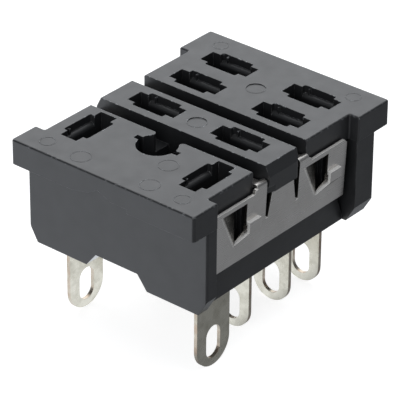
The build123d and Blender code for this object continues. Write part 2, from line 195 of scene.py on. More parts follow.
@dataclass(frozen=True)
class RoundedEdge:
    """The small radius that moulding or shearing leaves on every edge.

    Attributes:
        radius_mm: The radius of the edge.
        reach: How far the normal has to turn for an edge to show in full.
        samples: How many rays look for the edge.
    """

    radius_mm: float
    reach: float
    samples: int = 6

    def build(self, tree: bpy.types.NodeTree) -> tuple[Source, Source]:
        """Adds the rounded normal and a mask of the edges.

        Args:
            tree: The material's tree.

        Returns:
            The rounded normal, and a value that is 1 on an edge and 0 on a flat face.
        """
        settings = {"samples": self.samples, "Radius": self.radius_mm * MM}
        rounded = add_node(tree, "ShaderNodeBevel", settings)
        flat = add_node(tree, "ShaderNodeNewGeometry").outputs["True Normal"]
        turned = add_node(
            tree, "ShaderNodeVectorMath", {"operation": "DOT_PRODUCT"}, {0: rounded, 1: flat}
        )
        limits = {1: 1.0 - self.reach, 2: 1.0, 3: 1.0, 4: 0.0}
        return rounded, add_node(tree, "ShaderNodeMapRange", limits, {0: turned.outputs["Value"]})


@dataclass(frozen=True)
class MouldedPlastic:
    """Black glass-filled thermoplastic, injection moulded in a finely eroded tool.

    It reads as a matt black that turns grey where a wide light grazes it, with a faint cloud of
    flow marks, a fine even grain, a thin pale line along the crisp edges that is part rubbed wear
    and part painted highlight, and small chips along the top edges. Faces that look down come
    smoother from the tool's lower half, and the floors of grooves and cavities are rougher.

    Attributes:
        name: The material's name.
        tone: The plastic's colour.
        flow_tone: The colour of its flow marks.
        worn_and_highlight_tone: The pale colour of the edges, part rubbed wear and part painted
            highlight.
        chip_tone: The colour of a fresh chip.
        ior: The index of refraction of the glass-filled grade.
        roughness: The middle roughness of the eroded finish.
        roughness_spread: How far patches go above and below it.
        lower_roughness: The roughness of faces that look down.
        down_span: The upright part of the normal over which a face comes to count as one.
        cavity_roughness: The roughness of the floors of grooves and cavities.
        cavity_shine: The specular level of those floors.
        shine: The specular level of all else.
        up_span: The upright part of the normal over which a face comes to count as a floor.
        cavity_below_mm: The height below which a floor lies in a groove or cavity.
        cavity_fade_mm: The height over which that sets in.
        grain_mm: The size of the grain, drawn coarser than real so that it shows.
        grain_detail: How many finer layers the grain has.
        grain_depth_mm: The depth of the grain.
        grain_strength: How much of that depth the light sees.
        flow: The flow marks.
        rub: Where along the edges the pale line shows, part rubbed wear and part painted highlight.
        patch: Where the finish is duller or glossier.
        chip: Where edges are chipped.
        chip_depth_mm: The depth of a chip.
        chip_strength: How much of that depth the light sees.
        chips_above_mm: The height above which edges are chipped.
        chip_fade_mm: The height over which that sets in.
        edge: The moulded radius of every edge.
        chip_band: The band along an edge that chips reach.
    """

    name: str
    tone: str
    flow_tone: str
    worn_and_highlight_tone: str
    chip_tone: str = "#94979b"
    ior: float = 1.65
    roughness: float = 0.4
    roughness_spread: float = 0.04
    lower_roughness: float = 0.12
    down_span: Span = (-0.5, -0.3)
    cavity_roughness: float = 0.8
    cavity_shine: float = 0.15
    shine: float = 0.5
    up_span: Span = (0.5, 0.8)
    cavity_below_mm: float = 19.5
    cavity_fade_mm: float = 0.2
    grain_mm: float = 0.11
    grain_detail: float = 3.0
    grain_depth_mm: float = 0.0045
    grain_strength: float = 0.55
    flow: Mottle = Mottle(size_mm=4.5, detail=4.0, span=(0.35, 0.65))
    rub: Mottle = Mottle(size_mm=0.5, detail=5.0, span=(0.42, 0.62))
    patch: Mottle = Mottle(size_mm=1.6, detail=6.0, span=(0.3, 0.7))
    chip: Mottle = Mottle(size_mm=0.4, detail=3.0, span=(0.57, 0.62))
    chip_depth_mm: float = 0.05
    chip_strength: float = 0.8
    chips_above_mm: float = 20.1
    chip_fade_mm: float = 0.1
    edge: RoundedEdge = RoundedEdge(radius_mm=0.05, reach=0.2)
    chip_band: RoundedEdge = RoundedEdge(radius_mm=0.16, reach=0.03)

    def chips(self, tree: bpy.types.NodeTree, place: Source, height: Source) -> Source:
        """Marks the chips along the top edges.

        Args:
            tree: The material's tree.
            place: The place on the piece.
            height: Its height.

        Returns:
            A value that is 1 in a chip.
        """
        times = {"operation": "MULTIPLY"}
        near_edge = self.chip_band.build(tree)[1]
        broken = self.chip.build(tree, place)
        chips = add_node(tree, "ShaderNodeMath", times, {0: near_edge, 1: broken})
        foot = self.chips_above_mm * MM
        limits = {1: foot, 2: foot + self.chip_fade_mm * MM}
        high_up = add_node(tree, "ShaderNodeMapRange", limits, {0: height})
        return add_node(tree, "ShaderNodeMath", times, {0: chips, 1: high_up})

    def colour(
        self, tree: bpy.types.NodeTree, place: Source, on_edge: Source, chips: Source
    ) -> Source:
        """Lays the flow marks, the pale edges (part rubbed wear, part painted highlight) and the
        chips over the plastic's colour.

        Args:
            tree: The material's tree.
            place: The place on the piece.
            on_edge: The mask of the edges.
            chips: The mask of the chips.

        Returns:
            The colour.
        """
        marked = add_node(
            tree,
            "ShaderNodeMix",
            {"data_type": "RGBA", 6: linear(self.tone), 7: linear(self.flow_tone)},
            {0: self.flow.build(tree, place)},
        )
        # Pale edge line: part rubbed wear, part painted highlight.
        rubbed = self.rub.build(tree, place)
        worn_and_highlight = add_node(tree, "ShaderNodeMath", {"operation": "MULTIPLY"}, {0: on_edge, 1: rubbed})
        settings = {"data_type": "RGBA", 7: linear(self.worn_and_highlight_tone)}
        lighter = add_node(tree, "ShaderNodeMix", settings, {0: worn_and_highlight, 6: marked})
        settings = {"data_type": "RGBA", 7: linear(self.chip_tone)}
        return add_node(tree, "ShaderNodeMix", settings, {0: chips, 6: lighter})

    def gloss(
        self, tree: bpy.types.NodeTree, place: Source, height: Source
    ) -> tuple[Source, Source]:
        """Works out how smooth each face came from the tool.

        Args:
            tree: The material's tree.
            place: The place on the piece.
            height: Its height.

        Returns:
            The roughness and the specular level.
        """
        spread = (self.roughness - self.roughness_spread, self.roughness + self.roughness_spread)
        roughness = self.patch.build(tree, place, spread)
        shape = add_node(tree, "ShaderNodeNewGeometry")
        facing = add_node(tree, "ShaderNodeSeparateXYZ", None, {0: shape.outputs["True Normal"]})
        upright = facing.outputs["Z"]
        limits = {1: self.down_span[0], 2: self.down_span[1], 3: 1.0, 4: 0.0}
        looks_down = add_node(tree, "ShaderNodeMapRange", limits, {0: upright})
        roughness = add_node(
            tree, "ShaderNodeMix", {3: self.lower_roughness}, {0: looks_down, 2: roughness}
        )
        limits = {1: self.up_span[0], 2: self.up_span[1]}
        looks_up = add_node(tree, "ShaderNodeMapRange", limits, {0: upright})
        rim = self.cavity_below_mm * MM
        limits = {1: rim - self.cavity_fade_mm * MM, 2: rim, 3: 1.0, 4: 0.0}
        sunk = add_node(tree, "ShaderNodeMapRange", limits, {0: height})
        floor = add_node(tree, "ShaderNodeMath", {"operation": "MULTIPLY"}, {0: looks_up, 1: sunk})
        roughness = add_node(
            tree, "ShaderNodeMix", {3: self.cavity_roughness}, {0: floor, 2: roughness}
        )
        limits = {3: self.shine, 4: self.cavity_shine}
        return roughness, add_node(tree, "ShaderNodeMapRange", limits, {0: floor})

    def build(self) -> bpy.types.Material:
        """Builds the material.

        Returns:
            The material.
        """
        material, tree = new_material(self.name)
        place = add_node(tree, "ShaderNodeTexCoord").outputs["Object"]
        height = add_node(tree, "ShaderNodeSeparateXYZ", None, {0: place}).outputs["Z"]
        normal, on_edge = self.edge.build(tree)
        chips = self.chips(tree, place, height)
        roughness, shine = self.gloss(tree, place, height)
        settings = {"Scale": per_mm(self.grain_mm), "Detail": self.grain_detail}
        grain = add_node(tree, "ShaderNodeTexNoise", settings, {"Vector": place})
        chipped = add_node(
            tree,
            "ShaderNodeBump",
            {"invert": True, "Strength": self.chip_strength, "Distance": self.chip_depth_mm * MM},
            {"Height": chips, "Normal": normal},
        )
        bump = add_node(
            tree,
            "ShaderNodeBump",
            {"Strength": self.grain_strength, "Distance": self.grain_depth_mm * MM},
            {"Height": grain, "Normal": chipped},
        )
        shader = add_node(
            tree,
            "ShaderNodeBsdfPrincipled",
            {"IOR": self.ior},
            {
                "Base Color": self.colour(tree, place, on_edge, chips),
                "Roughness": roughness,
                "Specular IOR Level": shine,
                "Normal": bump,
            },
        )
        add_node(tree, "ShaderNodeOutputMaterial", None, {"Surface": shader})
        return material


@dataclass(frozen=True)
class SpringSteelSheet:
    """Cold-rolled spring steel strip, plated and barrelled.

    It has a satin grey face with faint rolling lines along the strip. Its sheared edges and rims
    are painted pale, part burnish and part painted highlight, and what is bent inward behind the
    face gets a painted shade.

    Attributes:
        name: The material's name.
        tone: The face's colour.
        dull_tone: The colour of its duller clouds.
        burnish_and_highlight_tone: The pale colour of cut and rounded edges, part burnish and part
            painted highlight.
        painted_shade_tone: The colour of the painted shade on what is bent inward.
        roughness: The lowest and highest roughness across the rolling lines.
        edge_roughness: The roughness of a sheared edge.
        torn_metallic: How metallic a torn edge looks. The rest of it scatters the light.
        cloud: The duller clouds on the face.
        line_mm: The spacing of the rolling lines, drawn coarser than real so that they show.
        line_detail: How many finer layers the lines have.
        line_stretch: The lines' width for each unit of their length.
        line_span: The part of the lines' range over which the roughness changes.
        line_depth_mm: The depth of a line.
        line_strength: How much of that depth the light sees.
        face_at_mm: How far the outer face stands from the middle plane, at face_level_mm.
        face_level_mm: The height at which face_at_mm holds, where the hooks begin.
        lean: How much nearer the face comes for each unit further down.
        hook_fade_mm: How far below and above that height the plate's finish turns to the hooks'.
        cut_span: The sideways part of the normal over which a face comes to count as cut.
        bent_span: The sideways part of the normal over which a face comes to count as bent.
        inside_mm: The depth behind the face over which a bent part takes on the painted shade.
        outside_mm: How far in front of the face an edge counts as torn.
        shelf_span: The upright part of the normal over which a cut stays out of the painted shade.
        torn_span: The upright part of the normal over which a cut comes to count as torn.
        edge: The radius of every edge.
    """

    name: str
    tone: str
    dull_tone: str
    burnish_and_highlight_tone: str
    painted_shade_tone: str
    roughness: Span = (0.24, 0.38)
    edge_roughness: float = 0.5
    torn_metallic: float = 0.3
    cloud: Mottle = Mottle(size_mm=3.0, detail=4.0, span=(0.3, 0.7))
    line_mm: float = 0.12
    line_detail: float = 4.0
    line_stretch: float = 0.03
    line_span: Span = (0.3, 0.7)
    line_depth_mm: float = 0.002
    line_strength: float = 0.1
    face_at_mm: float = 10.6
    face_level_mm: float = 18.3
    lean: float = 0.047
    hook_fade_mm: Span = (0.1, 0.15)
    cut_span: Span = (0.45, 0.8)
    bent_span: Span = (0.95, 0.99)
    inside_mm: float = 0.08
    outside_mm: float = 0.1
    shelf_span: Span = (0.3, 0.6)
    torn_span: Span = (0.2, 0.5)
    edge: RoundedEdge = RoundedEdge(radius_mm=0.07, reach=0.25)

    def depth(self, tree: bpy.types.NodeTree, split: bpy.types.Node) -> Source:
        """Finds how far a place lies behind the clip's outer face.

        Args:
            tree: The material's tree.
            split: The node that gives the place's X, Y and Z.

        Returns:
            The depth in metres, below 0 on what is pressed outward.
        """
        out = add_node(tree, "ShaderNodeMath", {"operation": "ABSOLUTE"}, {0: split.outputs["Y"]})
        foot = (self.face_at_mm - self.lean * self.face_level_mm) * MM
        face = add_node(
            tree,
            "ShaderNodeMath",
            {"operation": "MULTIPLY_ADD", 1: self.lean, 2: foot},
            {0: split.outputs["Z"]},
        )
        return add_node(tree, "ShaderNodeMath", {"operation": "SUBTRACT"}, {0: face, 1: out})

    def masks(
        self, tree: bpy.types.NodeTree, place: Source, on_edge: Source
    ) -> tuple[Source, Source, Source]:
        """Marks the cut edges and what is bent inward, which gets a painted shade.

        Args:
            tree: The material's tree.
            place: The place on the clip.
            on_edge: The mask of the edges.

        Returns:
            The masks of the pale edges (part burnish, part painted highlight), of torn edges and
            of the painted shade on what is bent inward.
        """
        times = {"operation": "MULTIPLY"}
        most = {"operation": "MAXIMUM"}
        split = add_node(tree, "ShaderNodeSeparateXYZ", None, {0: place})
        shape = add_node(tree, "ShaderNodeNewGeometry")
        facing = add_node(tree, "ShaderNodeSeparateXYZ", None, {0: shape.outputs["True Normal"]})
        upright = facing.outputs["Z"]
        sideways = facing.outputs["Y"]
        across = add_node(tree, "ShaderNodeMath", {"operation": "ABSOLUTE"}, {0: sideways})
        behind = self.depth(tree, split)
        level = self.face_level_mm * MM
        below, above = (fade * MM for fade in self.hook_fade_mm)
        limits = {1: level - below, 2: level + above, 3: 1.0, 4: 0.0}
        on_plate = add_node(tree, "ShaderNodeMapRange", limits, {0: split.outputs["Z"]})

        limits = {1: self.cut_span[0], 2: self.cut_span[1], 3: 1.0, 4: 0.0}
        cut = add_node(tree, "ShaderNodeMapRange", limits, {0: across})
        plate_cut = add_node(tree, "ShaderNodeMath", times, {0: cut, 1: on_plate})
        # Pale edges: every cut and rounded edge, part real burnish and part painted highlight.
        burnish_and_highlight = add_node(tree, "ShaderNodeMath", most, {0: plate_cut, 1: on_edge})

        limits = {1: -self.outside_mm * MM, 2: 0.0, 3: 1.0, 4: 0.0}
        outside = add_node(tree, "ShaderNodeMapRange", limits, {0: behind})
        limits = {1: self.torn_span[0], 2: self.torn_span[1]}
        upward = add_node(tree, "ShaderNodeMapRange", limits, {0: upright})
        open_to_light = add_node(tree, "ShaderNodeMath", most, {0: upward, 1: outside})
        torn = add_node(tree, "ShaderNodeMath", times, {0: burnish_and_highlight, 1: open_to_light})

        # Painted shade: faces bent inward behind the outer face are darkened as if in shadow.
        limits = {1: self.bent_span[0], 2: self.bent_span[1], 3: 1.0, 4: 0.0}
        bent = add_node(tree, "ShaderNodeMapRange", limits, {0: across})
        limits = {1: 0.0, 2: self.inside_mm * MM}
        inside = add_node(tree, "ShaderNodeMapRange", limits, {0: behind})
        limits = {1: self.shelf_span[0], 2: self.shelf_span[1], 3: 1.0, 4: 0.0}
        no_shelf = add_node(tree, "ShaderNodeMapRange", limits, {0: upright})
        painted_shade = add_node(tree, "ShaderNodeMath", times, {0: bent, 1: inside})
        painted_shade = add_node(tree, "ShaderNodeMath", times, {0: painted_shade, 1: on_plate})
        painted_shade = add_node(tree, "ShaderNodeMath", times, {0: painted_shade, 1: no_shelf})
        return burnish_and_highlight, torn, painted_shade

    def build(self) -> bpy.types.Material:
        """Builds the material.

        Returns:
            The material.
        """
        material, tree = new_material(self.name)
        place = add_node(tree, "ShaderNodeTexCoord").outputs["Object"]
        along = add_node(
            tree, "ShaderNodeMapping", {"Scale": (self.line_stretch, 1.0, 1.0)}, {"Vector": place}
        )
        normal, on_edge = self.edge.build(tree)
        burnish_and_highlight, torn, painted_shade = self.masks(tree, place, on_edge)
        colour = add_node(
            tree,
            "ShaderNodeMix",
            {"data_type": "RGBA", 6: linear(self.tone), 7: linear(self.dull_tone)},
            {0: self.cloud.build(tree, place)},
        )
        # Pale edges get part burnish, part painted highlight; bent-inward parts get a painted
        # shade.
        for mask, tone in ((burnish_and_highlight, self.burnish_and_highlight_tone), (painted_shade, self.painted_shade_tone)):
            settings = {"data_type": "RGBA", 7: linear(tone)}
            colour = add_node(tree, "ShaderNodeMix", settings, {0: mask, 6: colour})
        metallic = add_node(
            tree, "ShaderNodeMapRange", {3: 1.0, 4: self.torn_metallic}, {0: torn}
        )
        settings = {"Scale": per_mm(self.line_mm), "Detail": self.line_detail}
        lines = add_node(tree, "ShaderNodeTexNoise", settings, {"Vector": along})
        limits = dict(enumerate((*self.line_span, *self.roughness), start=1))
        rolled = add_node(tree, "ShaderNodeMapRange", limits, {0: lines})
        roughness = add_node(
            tree, "ShaderNodeMix", {3: self.edge_roughness}, {0: burnish_and_highlight, 2: rolled}
        )
        bump = add_node(
            tree,
            "ShaderNodeBump",
            {"Strength": self.line_strength, "Distance": self.line_depth_mm * MM},
            {"Height": lines, "Normal": normal},
        )
        shader = add_node(
            tree,
            "ShaderNodeBsdfPrincipled",
            None,
            {"Base Color": colour, "Metallic": metallic, "Roughness": roughness, "Normal": bump},
        )
        add_node(tree, "ShaderNodeOutputMaterial", None, {"Surface": shader})
        return material


@dataclass(frozen=True)
class TinnedCopperStrip:
    """Tin-plated copper alloy strip, stamped after plating.

    Its broad faces are pale and slightly blotched, and its sheared edges show bare copper.

    Attributes:
        name: The material's name.
        facing: The axis that the lug's broad faces look along.
        tone: The tin's colour.
        blotch_tone: The colour of its duller blotches.
        copper_tone: The colour of the bare edge.
        roughness: The lowest and highest roughness of the plating.
        blotch: The blotches on the faces.
        blotch_most: How much of the blotch colour shows at most.
        sheared_span: The part of the normal along that axis over which a face counts as sheared.
        smear: Where the tin is drawn over the sheared edge.
        bare: The least and most copper that shows there.
        fine_mm: The size of the plating's fine unevenness.
        fine_detail: How many finer layers it has.
        fine_span: The part of its range over which the roughness changes.
        fine_depth_mm: Its depth.
        fine_strength: How much of that depth the light sees.
        edge: The radius of every edge.
    """

    name: str
    facing: SheetNormal
    tone: str = "#d6d2c4"
    blotch_tone: str = "#b9b5a6"
    copper_tone: str = "#b0937c"
    roughness: Span = (0.24, 0.42)
    blotch: Mottle = Mottle(size_mm=1.1, detail=6.0, span=(0.42, 0.68))
    blotch_most: float = 0.8
    sheared_span: Span = (0.3, 0.6)
    smear: Mottle = Mottle(size_mm=0.9, detail=3.0, span=(0.35, 0.65))
    bare: Span = (0.1, 0.65)
    fine_mm: float = 0.25
    fine_detail: float = 5.0
    fine_span: Span = (0.3, 0.7)
    fine_depth_mm: float = 0.003
    fine_strength: float = 0.4
    edge: RoundedEdge = RoundedEdge(radius_mm=0.05, reach=0.3)

    def copper(self, tree: bpy.types.NodeTree, place: Source) -> Source:
        """Marks the bare copper on the sheared edges.

        Args:
            tree: The material's tree.
            place: The place on the lug.

        Returns:
            How much copper shows.
        """
        shape = add_node(tree, "ShaderNodeNewGeometry")
        split = add_node(tree, "ShaderNodeSeparateXYZ", None, {0: shape.outputs["True Normal"]})
        along = split.outputs[self.facing.value]
        across = add_node(tree, "ShaderNodeMath", {"operation": "ABSOLUTE"}, {0: along})
        limits = {1: self.sheared_span[0], 2: self.sheared_span[1], 3: 1.0, 4: 0.0}
        sheared = add_node(tree, "ShaderNodeMapRange", limits, {0: across})
        smeared = self.smear.build(tree, place, self.bare)
        times = {"operation": "MULTIPLY"}
        return add_node(tree, "ShaderNodeMath", times, {0: sheared, 1: smeared})

    def build(self) -> bpy.types.Material:
        """Builds the material.

        Returns:
            The material.
        """
        material, tree = new_material(self.name)
        place = add_node(tree, "ShaderNodeTexCoord").outputs["Object"]
        normal, _ = self.edge.build(tree)
        tin = add_node(
            tree,
            "ShaderNodeMix",
            {"data_type": "RGBA", 6: linear(self.tone), 7: linear(self.blotch_tone)},
            {0: self.blotch.build(tree, place, (0.0, self.blotch_most))},
        )
        colour = add_node(
            tree,
            "ShaderNodeMix",
            {"data_type": "RGBA", 7: linear(self.copper_tone)},
            {0: self.copper(tree, place), 6: tin},
        )
        settings = {"Scale": per_mm(self.fine_mm), "Detail": self.fine_detail}
        fine = add_node(tree, "ShaderNodeTexNoise", settings, {"Vector": place})
        limits = dict(enumerate((*self.fine_span, *self.roughness), start=1))
        roughness = add_node(tree, "ShaderNodeMapRange", limits, {0: fine})
        bump = add_node(
            tree,
            "ShaderNodeBump",
            {"Strength": self.fine_strength, "Distance": self.fine_depth_mm * MM},
            {"Height": fine, "Normal": normal},
        )
        shader = add_node(
            tree,
            "ShaderNodeBsdfPrincipled",
            {"Metallic": 1.0},
            {"Base Color": colour, "Roughness": roughness, "Normal": bump},
        )
        add_node(tree, "ShaderNodeOutputMaterial", None, {"Surface": shader})
        return material


@dataclass(frozen=True)
class BronzeStrip:
    """Phosphor bronze spring strip, cold rolled, with a satin golden face and fine lines.

    Attributes:
        name: The material's name.
        tone: The strip's colour.
        dull_tone: The colour of its duller clouds.
        roughness: The lowest and highest roughness across the lines.
        cloud: The duller clouds.
        line_mm: The spacing of the rolling lines, drawn coarser than real so that they show.
        line_detail: How many finer layers the lines have.
        line_stretch: The lines' width for each unit of their length.
        line_span: The part of the lines' range over which the roughness changes.
        line_depth_mm: The depth of a line.
        line_strength: How much of that depth the light sees.
    """

    name: str
    tone: str = "#b58f5c"
    dull_tone: str = "#977343"
    roughness: Span = (0.28, 0.43)
    cloud: Mottle = Mottle(size_mm=1.4, detail=4.0, span=(0.35, 0.65))
    line_mm: float = 0.1
    line_detail: float = 3.0
    line_stretch: float = 0.05
    line_span: Span = (0.3, 0.7)
    line_depth_mm: float = 0.002
    line_strength: float = 0.3

    def build(self) -> bpy.types.Material:
        """Builds the material.

        Returns:
            The material.
        """
        material, tree = new_material(self.name)
        place = add_node(tree, "ShaderNodeTexCoord").outputs["Object"]
        upright = add_node(
            tree, "ShaderNodeMapping", {"Scale": (1.0, 1.0, self.line_stretch)}, {"Vector": place}
        )
        colour = add_node(
            tree,
            "ShaderNodeMix",
            {"data_type": "RGBA", 6: linear(self.tone), 7: linear(self.dull_tone)},
            {0: self.cloud.build(tree, place)},
        )
        settings = {"Scale": per_mm(self.line_mm), "Detail": self.line_detail}
        lines = add_node(tree, "ShaderNodeTexNoise", settings, {"Vector": upright})
        limits = dict(enumerate((*self.line_span, *self.roughness), start=1))
        roughness = add_node(tree, "ShaderNodeMapRange", limits, {0: lines})
        bump = add_node(
            tree,
            "ShaderNodeBump",
            {"Strength": self.line_strength, "Distance": self.line_depth_mm * MM},
            {"Height": lines},
        )
        shader = add_node(
            tree,
            "ShaderNodeBsdfPrincipled",
            {"Metallic": 1.0},
            {"Base Color": colour, "Roughness": roughness, "Normal": bump},
        )
        add_node(tree, "ShaderNodeOutputMaterial", None, {"Surface": shader})
        return material


@dataclass(frozen=True)
class LightTable:
    """Opal acrylic top of a light table, lit from below at one side.

    The camera sees it white with the object's faint shadow. Mirror surfaces see its glow, which
    is strong on the lit side and falls off to the other.

    Attributes:
        bright_way: The direction from the dim side to the lit side.
        name: The material's name.
        tone: The acrylic's colour under the studio lights.
        glow_tone: The colour of its glow.
        seen_glow: How much glow the camera sees.
        bright_glow: The glow of the lit side in a mirror.
        dim_glow: The glow of the dim side in a mirror.
        bright_from_mm: How far before the middle the lit side starts.
        dim_from_mm: How far before the middle the dim side ends.
        tooth_mm: The size of the acrylic's fine texture.
        tooth_detail: How many finer layers it has.
        tooth_depth_mm: Its depth.
        tooth_strength: How much of that depth the light sees.
    """

    bright_way: Point
    name: str = "opal_acrylic_table"
    tone: str = "#c4c4c4"
    glow_tone: str = "#f5f9ff"
    seen_glow: float = 0.8
    bright_glow: float = 1.2
    dim_glow: float = 0.265
    bright_from_mm: float = 4.5
    dim_from_mm: float = 7.5
    tooth_mm: float = 0.6
    tooth_detail: float = 3.0
    tooth_depth_mm: float = 0.01
    tooth_strength: float = 0.05

    def build(self) -> bpy.types.Material:
        """Builds the material.

        Returns:
            The material.
        """
        material, tree = new_material(self.name)
        place = add_node(tree, "ShaderNodeTexCoord").outputs["Object"]
        settings = {"Scale": per_mm(self.tooth_mm), "Detail": self.tooth_detail}
        tooth = add_node(tree, "ShaderNodeTexNoise", settings, {"Vector": place})
        bump = add_node(
            tree,
            "ShaderNodeBump",
            {"Strength": self.tooth_strength, "Distance": self.tooth_depth_mm * MM},
            {"Height": tooth},
        )
        top = add_node(
            tree, "ShaderNodeBsdfDiffuse", {"Color": linear(self.tone)}, {"Normal": bump}
        )
        settings = {"operation": "DOT_PRODUCT", 1: self.bright_way}
        way = add_node(tree, "ShaderNodeVectorMath", settings, {0: place})
        limits = {
            1: -self.dim_from_mm * MM,
            2: -self.bright_from_mm * MM,
            3: self.dim_glow,
            4: self.bright_glow,
        }
        glow = add_node(tree, "ShaderNodeMapRange", limits, {0: way.outputs["Value"]})
        path = add_node(tree, "ShaderNodeLightPath")
        seen = add_node(
            tree,
            "ShaderNodeMath",
            {"operation": "MULTIPLY", 1: self.seen_glow},
            {0: path.outputs["Is Camera Ray"]},
        )
        camera_glow = add_node(tree, "ShaderNodeEmission", None, {"Strength": seen})
        shown = add_node(tree, "ShaderNodeAddShader", None, {0: top, 1: camera_glow})
        mirrored = add_node(
            tree, "ShaderNodeEmission", {"Color": linear(self.glow_tone)}, {"Strength": glow}
        )
        mirror_ray = add_node(
            tree,
            "ShaderNodeMath",
            {"operation": "ADD", "use_clamp": True},
            {0: path.outputs["Is Glossy Ray"], 1: path.outputs["Is Transmission Ray"]},
        )
        surface = add_node(
            tree, "ShaderNodeMixShader", None, {0: mirror_ray, 1: shown, 2: mirrored}
        )
        add_node(tree, "ShaderNodeOutputMaterial", None, {"Surface": surface})
        return material


def dress(node: bpy.types.Object, material: bpy.types.Material) -> None:
    """Puts a material on every slot of a solid of the frame.

    Args:
        node: The solid's object.
        material: The finish.
    """
    if not node.material_slots:
        node.data.materials.append(material)
    for slot in node.material_slots:
        slot.material = material
    LOG.info("dressed %s with %s", node.name, material.name)


@dataclass
class Housing:
    """The two black mouldings: the cover with the slots and the body below it.

    Attributes:
        nodes: The frame's solids by name.
        ring_line_mm: The width of the witness line round an ejector pin mark.
        ring_height_mm: How far that line stands above the cover.
        ring_steps: How many straight pieces make a ring.
        end_inset_mm: The distance of the corner marks from the cover's ends.
        side_inset_mm: The distance of the corner marks from the cover's sides.
        large_marks_mm: X and Y of each large mark.
        cover_finish: The finish of the cover and its rings.
        body_finish: The finish of the body.
    """

    nodes: dict[str, bpy.types.Object]
    ring_line_mm: float = 0.04
    ring_height_mm: float = 0.014
    ring_steps: int = 48
    end_inset_mm: float = 1.9
    side_inset_mm: float = 2.95
    large_marks_mm: tuple[tuple[float, float], ...] = (
        (-12.99, 3.98),
        (-12.79, -4.34),
        (-8.94, -3.30),
        (-0.84, 0.0),
        (8.1, 0.0),
    )
    # Each finish's pale edge tone is part rubbed wear and part painted highlight.
    cover_finish: MouldedPlastic = MouldedPlastic(
        name="black_plastic_cover", tone="#1d1e20", flow_tone="#232426", worn_and_highlight_tone="#85878a"
    )
    body_finish: MouldedPlastic = MouldedPlastic(
        name="black_plastic_body", tone="#1a1b1d", flow_tone="#202123", worn_and_highlight_tone="#6c6e71"
    )

    def mark_places(self) -> list[tuple[float, float, Mark]]:
        """Works out where the ejector pins met the cover.

        Returns:
            X and Y in metres, and the size, of each mark.
        """
        low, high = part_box("cover")
        side = high.y - self.side_inset_mm * MM
        ends = (low.x + self.end_inset_mm * MM, high.x - self.end_inset_mm * MM)
        corners = [(x, y, Mark.SMALL) for x in ends for y in (-side, side)]
        return corners + [(x * MM, y * MM, Mark.LARGE) for x, y in self.large_marks_mm]

    def ring_tree(self, material: bpy.types.Material) -> bpy.types.NodeTree:
        """Builds the tree that draws one thin raised ring round each point.

        Args:
            material: The finish of the rings.

        Returns:
            The node tree, with its inputs for the line's width and height.
        """
        tree = bpy.data.node_groups.new("ejector_pin_rings", "GeometryNodeTree")
        face = tree.interface
        face.new_socket("Geometry", in_out="INPUT", socket_type="NodeSocketGeometry")
        face.new_socket("Line width", in_out="INPUT", socket_type="NodeSocketFloat")
        face.new_socket("Line height", in_out="INPUT", socket_type="NodeSocketFloat")
        face.new_socket("Geometry", in_out="OUTPUT", socket_type="NodeSocketGeometry")
        given = add_node(tree, "NodeGroupInput")
        # The circle's radius is 1, and each point scales it to the radius of its own mark.
        circle = add_node(
            tree, "GeometryNodeCurvePrimitiveCircle", {"Resolution": self.ring_steps, "Radius": 1.0}
        )
        radius = add_node(tree, "GeometryNodeInputNamedAttribute", {"Name": "mark_radius"})
        placed = add_node(
            tree,
            "GeometryNodeInstanceOnPoints",
            None,
            {
                "Points": given.outputs["Geometry"],
                "Instance": circle,
                "Scale": radius.outputs["Attribute"],
            },
        )
        real = add_node(tree, "GeometryNodeRealizeInstances", None, {"Geometry": placed})
        profile = add_node(
            tree,
            "GeometryNodeCurvePrimitiveQuadrilateral",
            None,
            {"Width": given.outputs["Line width"], "Height": given.outputs["Line height"]},
        )
        swept = add_node(
            tree, "GeometryNodeCurveToMesh", None, {"Curve": real, "Profile Curve": profile}
        )
        dressed = add_node(
            tree, "GeometryNodeSetMaterial", {"Material": material}, {"Geometry": swept}
        )
        add_node(tree, "NodeGroupOutput", None, {"Geometry": dressed})
        return tree

    def build_rings(self, material: bpy.types.Material) -> None:
        """Makes the raised witness rings of the ejector pins, as one plain mesh.

        Args:
            material: The cover's finish.
        """
        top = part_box("cover")[1].z
        marks = self.mark_places()
        points = bpy.data.meshes.new("ejector_pin_places")
        points.from_pydata([(x, y, top) for x, y, _ in marks], [], [])
        sizes = points.attributes.new("mark_radius", "FLOAT", "POINT")
        sizes.data.foreach_set("value", [mark.value * MM for _, _, mark in marks])
        carrier = bpy.data.objects.new("ejector_pin_places", points)
        bpy.context.scene.collection.objects.link(carrier)
        modifier = carrier.modifiers.new("rings", "NODES")
        modifier.node_group = self.ring_tree(material)
        # The line's middle lies in the cover's face, so half of its height is sunk.
        values = {
            "Line width": self.ring_line_mm * MM,
            "Line height": 2 * self.ring_height_mm * MM,
        }
        for item in modifier.node_group.interface.items_tree:
            if item.in_out == "INPUT" and item.name in values:
                modifier[item.identifier] = values[item.name]
        evaluated = carrier.evaluated_get(bpy.context.evaluated_depsgraph_get())
        mesh = bpy.data.meshes.new_from_object(evaluated)
        mesh.name = "ejector_pin_rings"
        carrier.modifiers.remove(modifier)
        bpy.data.objects.remove(carrier)
        rings = bpy.data.objects.new("ejector_pin_rings", mesh)
        bpy.context.scene.collection.objects.link(rings)
        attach(rings, BODY)
        LOG.info("built %s, %d faces", rings.name, len(mesh.polygons))

    def build(self) -> None:
        """Dresses both mouldings and adds the rings."""
        cover_material = self.cover_finish.build()
        dress(self.nodes["cover"], cover_material)
        dress(self.nodes["body"], self.body_finish.build())
        self.build_rings(cover_material)


